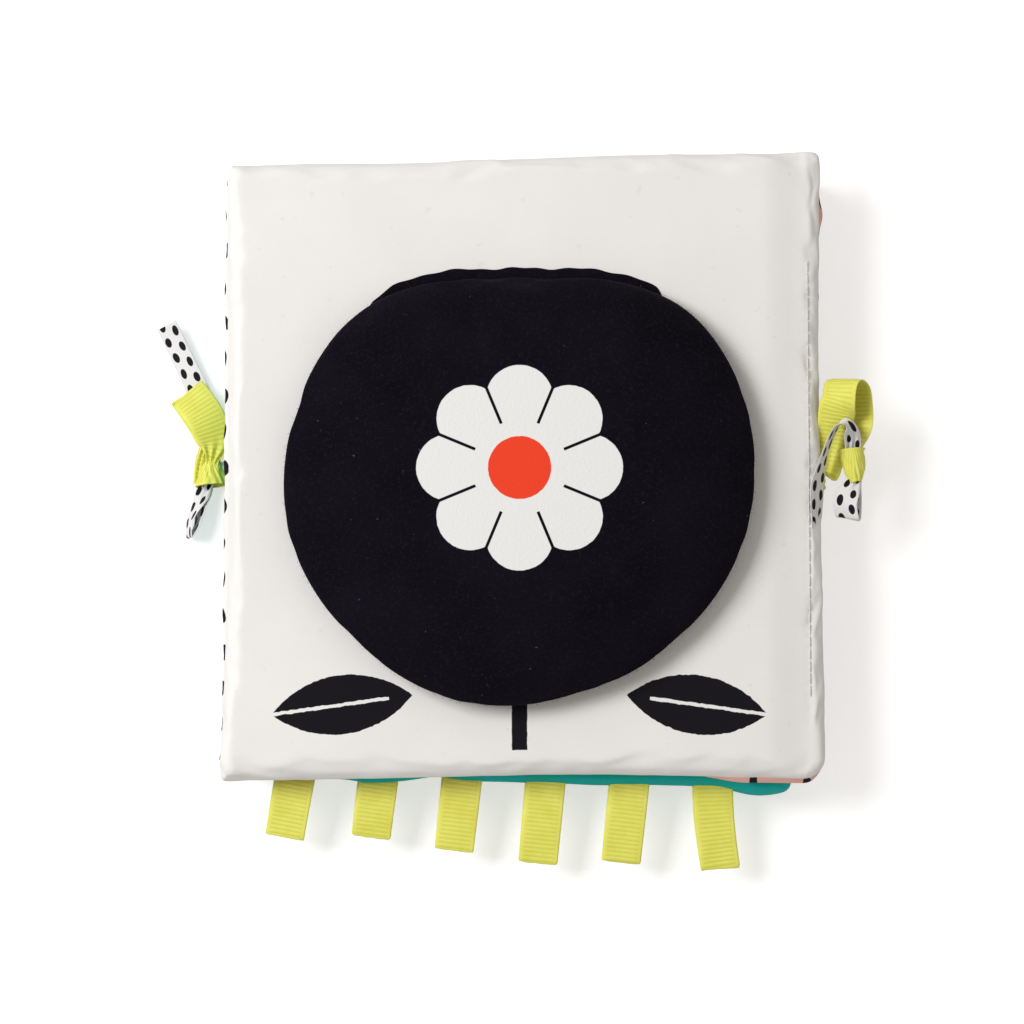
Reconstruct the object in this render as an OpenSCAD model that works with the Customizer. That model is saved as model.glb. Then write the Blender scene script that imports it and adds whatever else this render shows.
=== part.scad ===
// Soft activity book: three padded cloth panels folded in a zigzag, lying closed.
// Millimetres. X to the right and Y up the cover, +Z up.
// The origin is the middle of the back cover's underside.

/* [Panels] */
// Width of a padded panel
panel_w = 152; // [140:1:180]
// Height of a padded panel
panel_h = 157; // [140:1:190]
// Thickness of a padded panel
panel_t = 9; // [8:0.5:12]
// Thickness of the cotton cloth
cloth_t = 0.6; // [0.4:0.1:0.9]
// Width over which a sewn edge rolls up to the full thickness
edge_roll = 9; // [6:1:14]
// Radius of a panel's turned corners
corner_r = 4; // [2:0.5:6]
// Gap between two folded panels
fold_gap = 0.3; // [0.2:0.1:0.6]
// How far the page hangs out below the two covers
page_drop = 3; // [0:0.5:5]

/* [Lift-up flap] */
// Radius of the round flap
flap_r = 59.5; // [50:0.5:62]
// Height of its straight sewn top above the flap's middle
flap_top = 53; // [44:0.5:56]
// Thickness of the stuffed flap
flap_t = 13; // [9:0.5:18]
// Height of the flap's free edge above its underside
flap_edge_z = 5; // [3:0.5:6]
// Middle of the flap left of the cover's middle
flap_left = 0.9; // [0:0.1:3]
// Middle of the flap below the cover's middle
flap_down = 1.8; // [0:0.1:3]
// Gap between the flap and the cover
flap_gap = 0.5; // [0.4:0.1:0.8]

/* [Print] */
// Thickness of a field of print
print_t = 0.2; // [0.1:0.05:0.25]
// Petals round the flower
petal_count = 8; // [6:1:12]
// Radius of one petal's round end
petal_r = 8.5; // [6:0.5:10]
// Distance of the petals from the flower's middle
petal_reach = 17.5; // [14:0.5:20]
// Radius of the flower's centre
flower_r = 8; // [5:0.5:10]
// Length of a leaf
leaf_l = 36; // [28:1:40]
// Width of a leaf
leaf_w = 15; // [10:1:18]
// Width of the stem
stem_w = 4; // [3:0.5:6]

/* [Ribbon and tape] */
// Width of the grosgrain ribbon
ribbon_w = 10; // [9:0.5:12]
// Width of the dotted tape
tape_w = 6.4; // [5.5:0.1:8]
// Thickness of ribbon and tape
strap_t = 0.6; // [0.4:0.1:0.8]
// Distance between neighbouring ribbon tags
tag_pitch = 21.4; // [18:0.2:22]
// Gap between the two layers of a folded tag
tag_gap = 0.8; // [0.5:0.1:1.5]

/* [Hidden] */

// Each layer stays clear of the next by this much
ease = 0.1;
page_z = panel_t + fold_gap;
cover_z = page_z + panel_t + fold_gap;
flap_z = cover_z + panel_t + flap_gap;
flap_x = -flap_left;
flap_y = -flap_down;
// Seam heights inside a panel: in the fold below, in the fold above, and at a free edge
fold_below = cloth_t;
fold_above = panel_t - cloth_t;
free_edge = panel_t/2;

ink = "#17171f";
cotton = "#eeebe7";
lime = "#d3dc58";
teal = "#12a39a";
peach = "#f6b9a8";
wadding = "#f7f5ee";

function lerp(a, b, k) = a + (b - a)*k;
function unit(v) = v/norm(v);

// Closed tube through rings of points that all have as many points
module loft(rings) {
    rows = len(rings);
    n = len(rings[0]);
    polyhedron(
        points = [for (ring = rings) each ring],
        faces = concat(
            [for (i = [0:rows - 2], j = [0:n - 1]) let (k = (j + 1) % n)
                each [[i*n + j, (i + 1)*n + k, (i + 1)*n + j], [i*n + j, i*n + k, (i + 1)*n + k]]],
            [for (j = [1:n - 2]) [0, j + 1, j]],
            [for (j = [1:n - 2]) let (last = (rows - 1)*n) [last, last + j, last + j + 1]]));
}

// Closed sheet between two grids of points, lower and upper
module sheet(lower, upper) {
    rows = len(lower);
    n = len(lower[0]);
    all = rows*n;
    rim = concat([for (j = [0:n - 2]) j], [for (i = [0:rows - 2]) i*n + n - 1],
                 [for (j = [n - 1:-1:1]) (rows - 1)*n + j], [for (i = [rows - 1:-1:1]) i*n]);
    polyhedron(
        points = concat([for (row = lower) each row], [for (row = upper) each row]),
        faces = concat(
            [for (i = [0:rows - 2], j = [0:n - 2]) let (a = i*n + j)
                each [[a, a + n, a + n + 1], [a, a + n + 1, a + 1]]],
            [for (i = [0:rows - 2], j = [0:n - 2]) let (a = all + i*n + j)
                each [[a, a + n + 1, a + n], [a, a + 1, a + n + 1]]],
            [for (k = [0:len(rim) - 1]) let (a = rim[k], b = rim[(k + 1) % len(rim)])
                each [[a, b, all + b], [a, all + b, all + a]]]));
}

// Closed disc between two sets of rings round a middle point, lower and upper
module disc(lower, upper, lower_middle, upper_middle) {
    rows = len(lower);
    n = len(lower[0]);
    all = rows*n;
    outer = (rows - 1)*n;
    polyhedron(
        points = concat([for (ring = lower) each ring], [for (ring = upper) each ring],
                        [lower_middle, upper_middle]),
        faces = [for (j = [0:n - 1]) let (k = (j + 1) % n) each concat(
            [[2*all, j, k], [2*all + 1, all + k, all + j],
             [outer + j, all + outer + k, outer + k], [outer + j, all + outer + j, all + outer + k]],
            [for (i = [0:rows - 2]) let (a = i*n, b = (i + 1)*n)
                each [[a + j, b + k, a + k], [a + j, b + j, b + k],
                      [all + a + j, all + a + k, all + b + k], [all + a + j, all + b + k, all + b + j]]])]);
}

// Where the grid lines lie across a panel: close together where the edge rolls over
roll_steps = [0, 0.04, 0.18, 0.45, 1];
inner_steps = 3;
function steps(size) = let (flat = size - 2*edge_roll) concat(
    [for (k = roll_steps) k*edge_roll - size/2],
    [for (i = [1:inner_steps - 1]) edge_roll - size/2 + i*flat/inner_steps],
    [for (i = [len(roll_steps) - 1:-1:0]) size/2 - roll_steps[i]*edge_roll]);

// Rise of the padding at a distance from an edge, from 0 at the seam to 1
function roll(d) = let (q = 1 - min(d/edge_roll, 1)) sqrt(1 - q*q);
function rise(x, y) = roll(panel_w/2 - abs(x))*roll(panel_h/2 - abs(y));

// A panel's outline with its corners turned round
function turned(x, y) =
    let (dx = max(0, corner_r - panel_w/2 + abs(x)), dy = max(0, corner_r - panel_h/2 + abs(y)))
    min(dx, dy) == 0 ? [x, y]
    : let (k = 1 - max(dx, dy)/norm([dx, dy])) [x - sign(x)*dx*k, y - sign(y)*dy*k];

// Height of the seam round a panel, which runs up or down into the folds
function seam_z(x, left, right) =
    lerp(free_edge, x < 0 ? left : right, pow(abs(2*x/panel_w), 6));

function inside_top(x, y, seam) = lerp(seam, panel_t - cloth_t, rise(x, y));
function inside_bottom(x, y, seam) = lerp(seam, cloth_t, rise(x, y));

function panel_points(trim, left, right, top, lift) =
    let (xs = steps(panel_w), ys = steps(panel_h))
    [for (i = [trim:len(xs) - 1 - trim]) [for (j = [trim:len(ys) - 1 - trim])
        let (seam = seam_z(xs[i], left, right), p = turned(xs[i], ys[j]))
        [p[0], p[1], lift + (top ? inside_top(xs[i], ys[j], seam) : inside_bottom(xs[i], ys[j], seam))]]];

module upper_cloth(left, right) {
    sheet(panel_points(0, left, right, true, 0), panel_points(0, left, right, true, cloth_t));
}

module lower_cloth(left, right) {
    sheet(panel_points(0, left, right, false, -cloth_t), panel_points(0, left, right, false, 0));
}

module panel_wadding(left, right) {
    sheet(panel_points(1, left, right, false, ease), panel_points(1, left, right, true, -ease));
}

// The back cover: its fold to the page is at the right, above it
module back_outer() {
    color(cotton) lower_cloth(free_edge, fold_above);
}

module back_wadding() {
    color(wadding) panel_wadding(free_edge, fold_above);
}

module back_inner() {
    color(teal) upper_cloth(free_edge, fold_above);
}

// The page: its folds are at the right, below it, and at the left, above it
module on_page() {
    translate([0, -page_drop, page_z]) children();
}

module page_reverse() {
    color(teal) on_page() lower_cloth(fold_above, fold_below);
}

module page_wadding() {
    color(wadding) on_page() panel_wadding(fold_above, fold_below);
}

module page_face() {
    color(cotton) on_page() upper_cloth(fold_above, fold_below);
}

// The front cover: its fold to the page is at the left, below it
module on_cover() {
    translate([0, 0, cover_z]) children();
}

module cover_lining() {
    color(peach) on_cover() lower_cloth(fold_below, free_edge);
}

module cover_wadding() {
    color(wadding) on_cover() panel_wadding(fold_below, free_edge);
}

module cover_face() {
    color(cotton) on_cover() upper_cloth(fold_below, free_edge);
}

// A pointed leaf lying along +X from its stalk end, with a bare vein down its middle
vein_w = 1;
module leaf() {
    arc_r = (pow(leaf_l/2, 2) + pow(leaf_w/2, 2))/leaf_w;
    difference() {
        intersection_for (side = [-1, 1])
            translate([leaf_l/2, side*(arc_r - leaf_w/2)]) circle(arc_r, $fn = 90);
        translate([leaf_l/6, -vein_w/2]) square([leaf_l, vein_w]);
    }
}

// Stem and two leaves printed on the cover, from under the flap to the lower corners
leaf_angle = -8;
leaf_offset = 27;
leaf_rise = 14;
print_margin = 6;
// The stem runs on under the flap by this much
stem_tuck = 6;
module leaf_print() {
    foot = print_margin - panel_h/2;
    color(ink) translate([flap_x, 0, cover_z + panel_t + ease/2]) linear_extrude(print_t) {
        translate([-stem_w/2, foot]) square([stem_w, flap_y - flap_r + stem_tuck - foot]);
        for (side = [0, 1]) mirror([side, 0])
            translate([leaf_offset, foot + leaf_rise]) rotate(leaf_angle) leaf();
    }
}

// Reach of the flap's outline at an angle: a circle cut straight where it is sewn on
reach_power = 24;
function reach(a) = sin(a) <= 0 ? flap_r
    : pow(pow(flap_r, -reach_power) + pow(flap_top/sin(a), -reach_power), -1/reach_power);

// How far an angle is on the sewn top of the flap, from 0 to 1
sewn_from = 0.55;
sewn_over = 0.35;
function sewn(a) = let (k = min(max((sin(a) - sewn_from)/sewn_over, 0), 1)) k*k*(3 - 2*k);

flap_rings = [0.62, 0.76, 0.87, 0.93, 0.97, 1];
flap_flat = flap_rings[0];
flap_sides = 40;
// The padding ends a little inside the sewn top, so that the seam can bend
sewn_room = 0.965;
function flap_rise(k, a) = let (q = min((k - flap_flat)/(lerp(1, sewn_room, sewn(a)) - flap_flat), 1)) sqrt(1 - q*q);
function flap_seam(a) = lerp(flap_edge_z, cloth_t, sewn(a));

function flap_points(rings, top, lift) = [for (k = rings) [for (j = [0:flap_sides - 1])
    let (a = 90 + 360*j/flap_sides, seam = flap_seam(a))
    [flap_x + k*reach(a)*cos(a), flap_y + k*reach(a)*sin(a),
     flap_z + lift + lerp(seam, top ? flap_t - cloth_t : cloth_t, flap_rise(k, a))]]];

module flap_layer(rings, low_top, low_lift, high_top, high_lift) {
    low = low_top ? flap_t - cloth_t : cloth_t;
    high = high_top ? flap_t - cloth_t : cloth_t;
    disc(flap_points(rings, low_top, low_lift), flap_points(rings, high_top, high_lift),
         [flap_x, flap_y, flap_z + low + low_lift], [flap_x, flap_y, flap_z + high + high_lift]);
}

module flap_back() {
    color(ink) flap_layer(flap_rings, false, -cloth_t, false, 0);
}

module flap_filling() {
    inner_rings = [for (i = [0:len(flap_rings) - 3]) flap_rings[i]];
    color(wadding) flap_layer(inner_rings, false, ease, true, -ease);
}

module flap_face() {
    color(ink) flap_layer(flap_rings, true, 0, true, cloth_t);
}

module on_flap() {
    translate([flap_x, flap_y, flap_z + flap_t + ease/2]) linear_extrude(print_t) children();
}

// Ring of white petals, open in the middle for the flower's centre
module petal_print() {
    color(cotton) on_flap() difference() {
        union() {
            circle(petal_reach, $fn = 60);
            for (i = [0:petal_count - 1]) rotate(360*i/petal_count)
                translate([petal_reach, 0]) circle(petal_r, $fn = 40);
        }
        circle(flower_r + ease, $fn = 60);
    }
}

module centre_print() {
    color("#ee4c33") on_flap() circle(flower_r, $fn = 60);
}

// Curve through four points, between the middle two
function curve(a, b, c, d, t) =
    (2*b + (c - a)*t + (2*a - 5*b + 4*c - d)*t*t + (3*b - a - 3*c + d)*t*t*t)/2;
function smooth(p, n) = let (last = len(p) - 1) concat(
    [for (i = [0:last - 1], k = [0:n - 1])
        curve(p[max(i - 1, 0)], p[i], p[i + 1], p[min(i + 2, last)], k/n)],
    [p[last]]);

// Flat strap along a route whose rows hold a place, the way across the strap and its width there
module strap(route, n = 3) {
    places = smooth([for (row = route) row[0]], n);
    across = smooth([for (row = route) row[1]], n);
    widths = smooth([for (row = route) row[2]], n);
    last = len(places) - 1;
    loft([for (i = [0:last])
        let (along = unit(places[min(i + 1, last)] - places[max(i - 1, 0)]),
             side = unit(across[i] - (across[i]*along)*along)*widths[i]/2,
             up = cross(along, unit(side))*strap_t/2)
        [places[i] - side - up, places[i] - side + up, places[i] + side + up, places[i] + side - up]]);
}

// Ribbon tags sewn in the page's bottom seam: how far each hangs out, and how its end swings
tag_lengths = [14, 14, 17.5, 20.5, 20.5, 21.5];
tag_swings = [-2.2, -1.4, -2, -2.1, -2.2, 1.8];
tag_droop = 3;
tag_middle = -5;
root_gap = 0.25;
tag_slant = 1.5;

module ribbon_tag(i) {
    x = tag_middle + (i - 2.5)*tag_pitch;
    y = -page_drop - panel_h/2 - root_gap;
    z = page_z + seam_z(x, fold_above, fold_below);
    l = tag_lengths[i];
    swing = tag_swings[i];
    h = (tag_gap + strap_t)/2;
    path = [[0, h, 0], [0.35, h, 0.04], [0.7, h, 0.44], [0.93, h, 0.92], [1, 0, 1],
            [0.93, -h, 0.92], [0.7, -h, 0.44], [0.35, -h, 0.04], [0, -h, 0]];
    color(lime) strap([for (p = path)
        [[x + swing*p[2], y - l*p[0], z + p[1] - tag_droop*p[2]], [1, swing/l*p[2]*tag_slant, 0], ribbon_w]], 2);
}

module ribbon_tag_1() { ribbon_tag(0); }
module ribbon_tag_2() { ribbon_tag(1); }
module ribbon_tag_3() { ribbon_tag(2); }
module ribbon_tag_4() { ribbon_tag(3); }
module ribbon_tag_5() { ribbon_tag(4); }
module ribbon_tag_6() { ribbon_tag(5); }

// Strap folded into a loop: rows hold a place on its middle line, the way across, the width and
// the gap between the two layers; the last row is the fold at its tip
module strap_loop(route) {
    last = len(route) - 1;
    function up(i) = unit(cross(route[min(i + 1, last)][0] - route[max(i - 1, 0)][0], route[i][1]));
    function layer(i, side) =
        [route[i][0] + side*up(i)*(route[i][3] + strap_t)/2, route[i][1], route[i][2]];
    strap(concat([for (i = [0:last - 1]) layer(i, 1)], [route[last]],
                 [for (i = [last - 1:-1:0]) layer(i, -1)]));
}

// Turn of ribbon that holds a bow: rims hold the height, half width and half depth at top and bottom
knot_turn = 350;
module knot(middle, top, bottom) {
    loft([for (a = [0:14:knot_turn]) [for (c = [[top, -1], [top, 1], [bottom, 1], [bottom, -1]])
        let (rim = c[0], wall = c[1]*strap_t/2)
        middle + [(rim[1] + wall)*cos(a), rim[0], (rim[2] + wall)*sin(a)]]]);
}

X = [1, 0, 0];
Y = [0, 1, 0];

// Left tie: sewn in the back cover's free edge, places from the middle of that edge
module at_left_edge() {
    translate([-panel_w/2, 0, free_edge]) children();
}

module left_ribbon() {
    color(lime) at_left_edge() {
        strap([[[-0.1, -1.2, -0.5], Y, ribbon_w], [[-0.7, -1.2, -0.6], Y, 9], [[-1.3, -1.2, -0.8], Y, 8]]);
        knot([-5.6, 0, 0.1], [2.4, 2.9, 2.9], [-4.9, 3.8, 3.2]);
        strap_loop([[[-5.6, 0, 1.5], X, 4.2, 0.2], [[-5.3, 3, 1.5], X, 5.4, 0.4],
                    [[-5.1, 8.5, 1.3], [0.95, -0.25, 0], ribbon_w - 0.6, 2],
                    [[-7.2, 14.4, 1], [0.9, 0.2, 0], ribbon_w, 3.2],
                    [[-10.6, 18.8, 0.8], [0.75, 0.66, 0], ribbon_w]]);
    }
}

module left_tape() {
    color(cotton) at_left_edge() {
        strap([[[-0.1, -1.2, 0.4], Y, tape_w], [[-0.7, -1.2, 0.5], Y, tape_w], [[-1.3, -1.2, 0.6], Y, tape_w - 0.6]]);
        strap_loop([[[-5.6, -1.5, -1.3], X, 3.4, 0.2], [[-5.7, -4.9, -1.1], [1, 0, 0.1], 4.2, 0.2],
                    [[-6.9, -9, -0.5], [0.6, 0, 0.8], tape_w - 0.6, 1],
                    [[-8.5, -14, 0], [0.3, 0, 0.95], tape_w, 1.8],
                    [[-10, -18.5, 0], [0.25, 0, 0.97], tape_w]]);
        strap([[[-5.6, 0, -0.1], X, 4], [[-5.6, 2.8, -0.4], X, 4.4], [[-5.7, 7, -2], [0.95, -0.1, 0], tape_w - 0.4],
               [[-6.4, 13, -3], [0.95, 0.2, 0], tape_w], [[-8.4, 20.7, -3], [0.9, 0.4, 0.1], tape_w],
               [[-12, 28.5, -2.4], [0.85, 0.45, 0.25], tape_w],
               [[-15.9, 36.2, -1.6], [0.8, 0.4, 0.35], tape_w]]);
    }
}

// Right tie: sewn in the front cover's free edge
module at_right_edge() {
    translate([panel_w/2, 0, cover_z + free_edge]) children();
}

module right_ribbon() {
    // The loop leans, so that its open side shows from above
    tilt = [0.84, 0, 0.54];
    color(lime) at_right_edge() {
        knot([9.6, 0, 1.1], [4.6, 3.5, 3], [-4.6, 2.7, 2.6]);
        strap([[[9.8, 2, -0.8], X, 4.2], [[10.2, 5.4, -0.9], [0.95, 0, -0.1], 5],
               [[9.9, 10.5, -1], [0.88, 0, 0.4], ribbon_w - 1], [[8.9, 16, -1], tilt, ribbon_w],
               [[8.1, 20.6, 0.5], tilt, ribbon_w], [[6.2, 22.7, 3.2], tilt, ribbon_w],
               [[4.9, 20.8, 5.6], tilt, ribbon_w], [[4.5, 16.8, 5.2], tilt, ribbon_w],
               [[4.6, 12.6, 0.9], [0.98, 0, 0.1], ribbon_w - 2], [[3.8, 6.4, -1.4], X, 5.6],
               [[3.2, 1.4, -1.5], [0.9, 0.2, 0], 4.8], [[2.6, -1.2, -1.3], [0.7, 0.7, 0], 4.8],
               [[1.4, -2.4, -0.9], Y, 6], [[0.4, -2.6, -0.6], Y, ribbon_w - 2]]);
    }
}

module right_tape() {
    color(cotton) at_right_edge() {
        strap([[[0.8, -14.6, 0.2], [0.3, 0, -0.95], 2.4], [[1.4, -10, 1.4], [0.5, 0, -0.86], tape_w - 0.4],
               [[2, -4, 2.8], [0.62, 0, -0.78], tape_w], [[2.9, 2.6, 4.2], [0.6, 0, -0.8], tape_w],
               [[4.4, 7.4, 5.2], [0.5, 0, -0.85], tape_w], [[7, 10.2, 5.6], [0.35, 0, -0.94], tape_w],
               [[8.9, 8.4, 4.4], [0.6, 0, -0.8], tape_w - 0.6], [[9.7, 5, 2.2], [1, 0, -0.1], 4.2],
               [[9.6, 2.4, 2], X, 3.8]]);
        strap_loop([[[9.6, 0.4, 0.7], X, 3.6, 0.2], [[9.6, -4.6, 1], X, 3.4, 0.2],
                    [[8.5, -7.4, 1], X, tape_w - 0.8, 1], [[7.9, -10.4, 1], [0.98, -0.1, 0], tape_w, 1.8],
                    [[7.9, -13.6, 0.9], [0.97, -0.22, 0], tape_w]]);
    }
}

back_outer();
back_wadding();
back_inner();
page_reverse();
page_wadding();
page_face();
cover_lining();
cover_wadding();
cover_face();
leaf_print();
flap_back();
flap_filling();
flap_face();
petal_print();
centre_print();
ribbon_tag_1();
ribbon_tag_2();
ribbon_tag_3();
ribbon_tag_4();
ribbon_tag_5();
ribbon_tag_6();
left_ribbon();
left_tape();
right_ribbon();
right_tape();
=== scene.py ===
import math
import bpy
import numpy as np
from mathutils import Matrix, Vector


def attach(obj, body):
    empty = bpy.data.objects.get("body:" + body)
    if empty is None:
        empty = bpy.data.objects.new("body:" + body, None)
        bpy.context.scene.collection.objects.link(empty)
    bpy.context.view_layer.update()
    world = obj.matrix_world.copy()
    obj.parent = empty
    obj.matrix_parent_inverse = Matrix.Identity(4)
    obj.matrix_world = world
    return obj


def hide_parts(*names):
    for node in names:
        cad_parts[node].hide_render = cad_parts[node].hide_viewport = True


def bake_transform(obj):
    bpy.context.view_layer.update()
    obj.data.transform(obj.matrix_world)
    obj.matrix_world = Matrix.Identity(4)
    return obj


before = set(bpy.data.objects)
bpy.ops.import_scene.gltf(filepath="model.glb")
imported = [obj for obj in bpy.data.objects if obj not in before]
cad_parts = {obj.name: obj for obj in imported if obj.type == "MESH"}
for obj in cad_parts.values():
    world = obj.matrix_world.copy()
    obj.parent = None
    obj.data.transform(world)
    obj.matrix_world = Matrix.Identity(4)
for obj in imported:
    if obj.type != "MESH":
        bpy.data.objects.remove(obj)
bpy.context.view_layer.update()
scene = bpy.context.scene
MM = 0.001

# The set-up. The closed book lies on a plain pale table and is seen from almost straight above.
# A large soft lamp stands at the top left, and the pale room fills the shadows.
look_at = Vector((-0.0028, -0.0121, 0.0276))
look_distance = 1.1
look_tilt = math.radians(6)
half_view = 0.1298
camera = bpy.data.objects.new("camera", bpy.data.cameras.new("camera"))
camera.data.angle = 2 * math.atan(half_view / look_distance)
camera.location = look_at + look_distance * Vector((0, -math.sin(look_tilt), math.cos(look_tilt)))
camera.rotation_euler = (look_tilt, 0, 0)
scene.collection.objects.link(camera)
scene.camera = camera
scene.view_settings.view_transform = "Standard"


class Nodes:
    """The nodes of a material or of a geometry tree"""

    def __init__(self, tree):
        self.tree = tree

    def add(self, kind, inputs=(), **settings):
        node = self.tree.nodes.new(kind)
        for name, value in settings.items():
            setattr(node, name, value)
        for socket, value in dict(inputs).items():
            if isinstance(value, bpy.types.NodeSocket):
                self.tree.links.new(value, node.inputs[socket])
            else:
                node.inputs[socket].default_value = value
        return node

    def math(self, operation, *values, clamp=False):
        return self.add("ShaderNodeMath", enumerate(values), operation=operation, use_clamp=clamp).outputs[0]

    def times(self, *values, clamp=False):
        return self.math("MULTIPLY", *values, clamp=clamp)

    def plus(self, *values):
        return self.math("ADD", *values)

    def minus(self, *values, clamp=False):
        return self.math("SUBTRACT", *values, clamp=clamp)

    def stretch(self, value, factor, shift):
        return self.math("MULTIPLY_ADD", value, factor, shift, clamp=True)

    def length(self, x, y):
        return self.math("SQRT", self.plus(self.math("POWER", x, 2.0), self.math("POWER", y, 2.0)))

    def noise(self, place, scale, detail):
        return self.add("ShaderNodeTexNoise", {"Vector": place, "Scale": scale, "Detail": detail}).outputs[0]

    def attribute(self, name):
        return self.add("ShaderNodeAttribute", attribute_name=name).outputs["Fac"]

    def mix(self, share, first, second):
        inputs = {0: share, 6: first, 7: second}
        return self.add("ShaderNodeMix", inputs, data_type="RGBA").outputs[2]

    def join(self, source, node, socket):
        self.tree.links.new(source, node.inputs[socket])


def pale(name, brightness, glow):
    """A matt pale finish that the camera sees lifted to white, with the object's shadow kept"""
    material = bpy.data.materials.new(name)
    material.use_nodes = True
    material.node_tree.nodes.clear()
    n = Nodes(material.node_tree)
    rays = n.add("ShaderNodeLightPath")
    seen = n.math("MAXIMUM", rays.outputs["Is Camera Ray"], rays.outputs["Is Glossy Ray"])
    seen = n.math("MAXIMUM", seen, rays.outputs["Is Transmission Ray"])
    matt = n.add("ShaderNodeBsdfDiffuse", {"Color": (brightness, brightness, brightness, 1)})
    lift = n.add("ShaderNodeEmission", {"Strength": n.times(seen, glow)})
    both = n.add("ShaderNodeAddShader", {0: matt.outputs[0], 1: lift.outputs[0]})
    n.add("ShaderNodeOutputMaterial", {"Surface": both.outputs[0]})
    return material


table_size = 4.0
table_drop = 0.2 * MM
bpy.ops.mesh.primitive_plane_add(size=table_size, location=(0, 0, -table_drop))
table = bpy.context.object
table.name = "table_top"
table.data.materials.append(pale("pale table", 0.8, 0.5))

room_light = 0.47
lamp_watts = 8.2
lamp_size = 0.5
lamp_place = Vector((-0.62, 0.2, 0.84))
lamp_aim = Vector((0, 0, 0.02))
room = bpy.data.worlds.new("pale room")
room.use_nodes = True
room.node_tree.nodes["Background"].inputs["Color"].default_value = (1, 0.955, 0.91, 1)
room.node_tree.nodes["Background"].inputs["Strength"].default_value = room_light
scene.world = room
lamp = bpy.data.objects.new("soft lamp", bpy.data.lights.new("soft lamp", "AREA"))
lamp.data.energy = lamp_watts
lamp.data.size = lamp_size
lamp.location = lamp_place
lamp.rotation_euler = (lamp_aim - lamp_place).to_track_quat("-Z", "Y").to_euler()
scene.collection.objects.link(lamp)

# The panels. Three pads of two cotton squares, sewn round, turned and filled with wadding.
# Each lies a little thinner than its wadding would like, so the cloth is drawn tight to the seam.
panel_w = 152.0
panel_h = 157.0
panel_t = 9.0
edge_roll = 5.0
edge_fullness = 2.9
fold_gap = 0.3
page_drop = 3.0
page_z = panel_t + fold_gap
cover_z = page_z + panel_t + fold_gap
free_edge = panel_t / 2
fold_below = 0.8
fold_above = panel_t - 0.8
roll_lines = 7


def smoothstep(low, high, value):
    t = np.clip((value - low) / (high - low), 0, 1)
    return t * t * (3 - 2 * t)


def panel_lines(size, spacing):
    """Where the mesh lines cross a panel, close together where its edge rolls over"""
    turn = [edge_roll * (1 - math.cos(k * math.pi / 2 / roll_lines)) for k in range(roll_lines)]
    count = round((size - 2 * edge_roll) / spacing)
    middle = [edge_roll + k * (size - 2 * edge_roll) / count for k in range(count + 1)]
    return np.array(turn + middle + [size - t for t in reversed(turn)]) - size / 2


def edge_rise(distance):
    """Rise of the padding at a distance from an edge, from 0 at the seam to 1"""
    return (1 - (1 - np.clip(distance / edge_roll, 0, 1)) ** edge_fullness) ** (1 / edge_fullness)


def seam_height(x, left, right):
    """Height of a panel's seam, level in the middle and running to the fold or free edge at each side"""
    return free_edge + (np.where(x < 0, left, right) - free_edge) * abs(2 * x / panel_w) ** 6


def tube_faces(grid):
    """Faces between the rows of a grid of point numbers, closed round each row"""
    nxt = np.roll(grid, -1, 1)
    return np.stack([grid[:-1], grid[1:], nxt[1:], nxt[:-1]], -1).reshape(-1, 4)


def end_faces(grid):
    """Faces that close the first and the last row of a flat tube"""
    n = grid.shape[1]
    first, last = ([[row[j], row[j + 1], row[n - 2 - j], row[n - 1 - j]] for j in range(n // 2 - 1)]
                   for row in (grid[0], grid[-1]))
    return first + [face[::-1] for face in last]


def set_attribute(mesh, name, values, kind="FLOAT"):
    """Give each point of a mesh a number, or three of them as a vector"""
    field = "value" if kind == "FLOAT" else "vector"
    mesh.attributes.new(name, kind, "POINT").data.foreach_set(field, np.asarray(values, np.float32).ravel())


def mesh_object(name, points, faces, across, along):
    """A smooth-shaded mesh from millimetres, with the lines of its cloth as attributes"""
    mesh = bpy.data.meshes.new(name)
    mesh.from_pydata((np.asarray(points) * MM).tolist(), [], [list(map(int, f)) for f in faces])
    set_attribute(mesh, "across", np.asarray(across, np.float32) * MM)
    set_attribute(mesh, "along", np.asarray(along, np.float32) * MM)
    mesh.polygons.foreach_set("use_smooth", np.ones(len(mesh.polygons), bool))
    mesh.update()
    piece = bpy.data.objects.new(name, mesh)
    scene.collection.objects.link(piece)
    return piece


def read_points(mesh):
    points = np.empty(len(mesh.vertices) * 3, np.float32)
    mesh.vertices.foreach_get("co", points)
    return points.reshape(-1, 3) / MM


def write_points(mesh, points):
    mesh.vertices.foreach_set("co", (np.asarray(points, np.float32) * MM).ravel())
    mesh.update()


def fill_with_wadding(pad, seam, slack, give, lowest, highest):
    """Swell a sewn pad by cloth simulation, each point no further than give and between two heights"""
    rest = read_points(pad.data)
    group = pad.vertex_groups.new(name="seam")
    group.add([int(v) for v in seam], 1.0, "REPLACE")
    cloth = pad.modifiers.new("wadding", "CLOTH")
    cloth.settings.quality = 5
    cloth.settings.mass = 0.15
    cloth.settings.bending_stiffness = 0.05
    cloth.settings.shrink_min = -slack
    cloth.settings.vertex_group_mass = "seam"
    cloth.settings.use_pressure = True
    cloth.settings.uniform_pressure_force = 4
    cloth.settings.effector_weights.gravity = 0
    cloth.collision_settings.use_collision = False
    last_frame = 20
    cloth.point_cache.frame_start = 1
    cloth.point_cache.frame_end = last_frame
    for step in range(1, last_frame + 1):
        scene.frame_set(step)
    filled = pad.evaluated_get(bpy.context.evaluated_depsgraph_get())
    moved = read_points(filled.data) - rest
    pad.modifiers.remove(cloth)
    pad.vertex_groups.clear()
    scene.frame_set(1)
    far = np.maximum(np.linalg.norm(moved, axis=1, keepdims=True), 1e-6)
    points = rest + moved * np.minimum(1, give / far)
    points[:, 2] = np.clip(points[:, 2], lowest, highest)
    write_points(pad.data, points)


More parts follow.
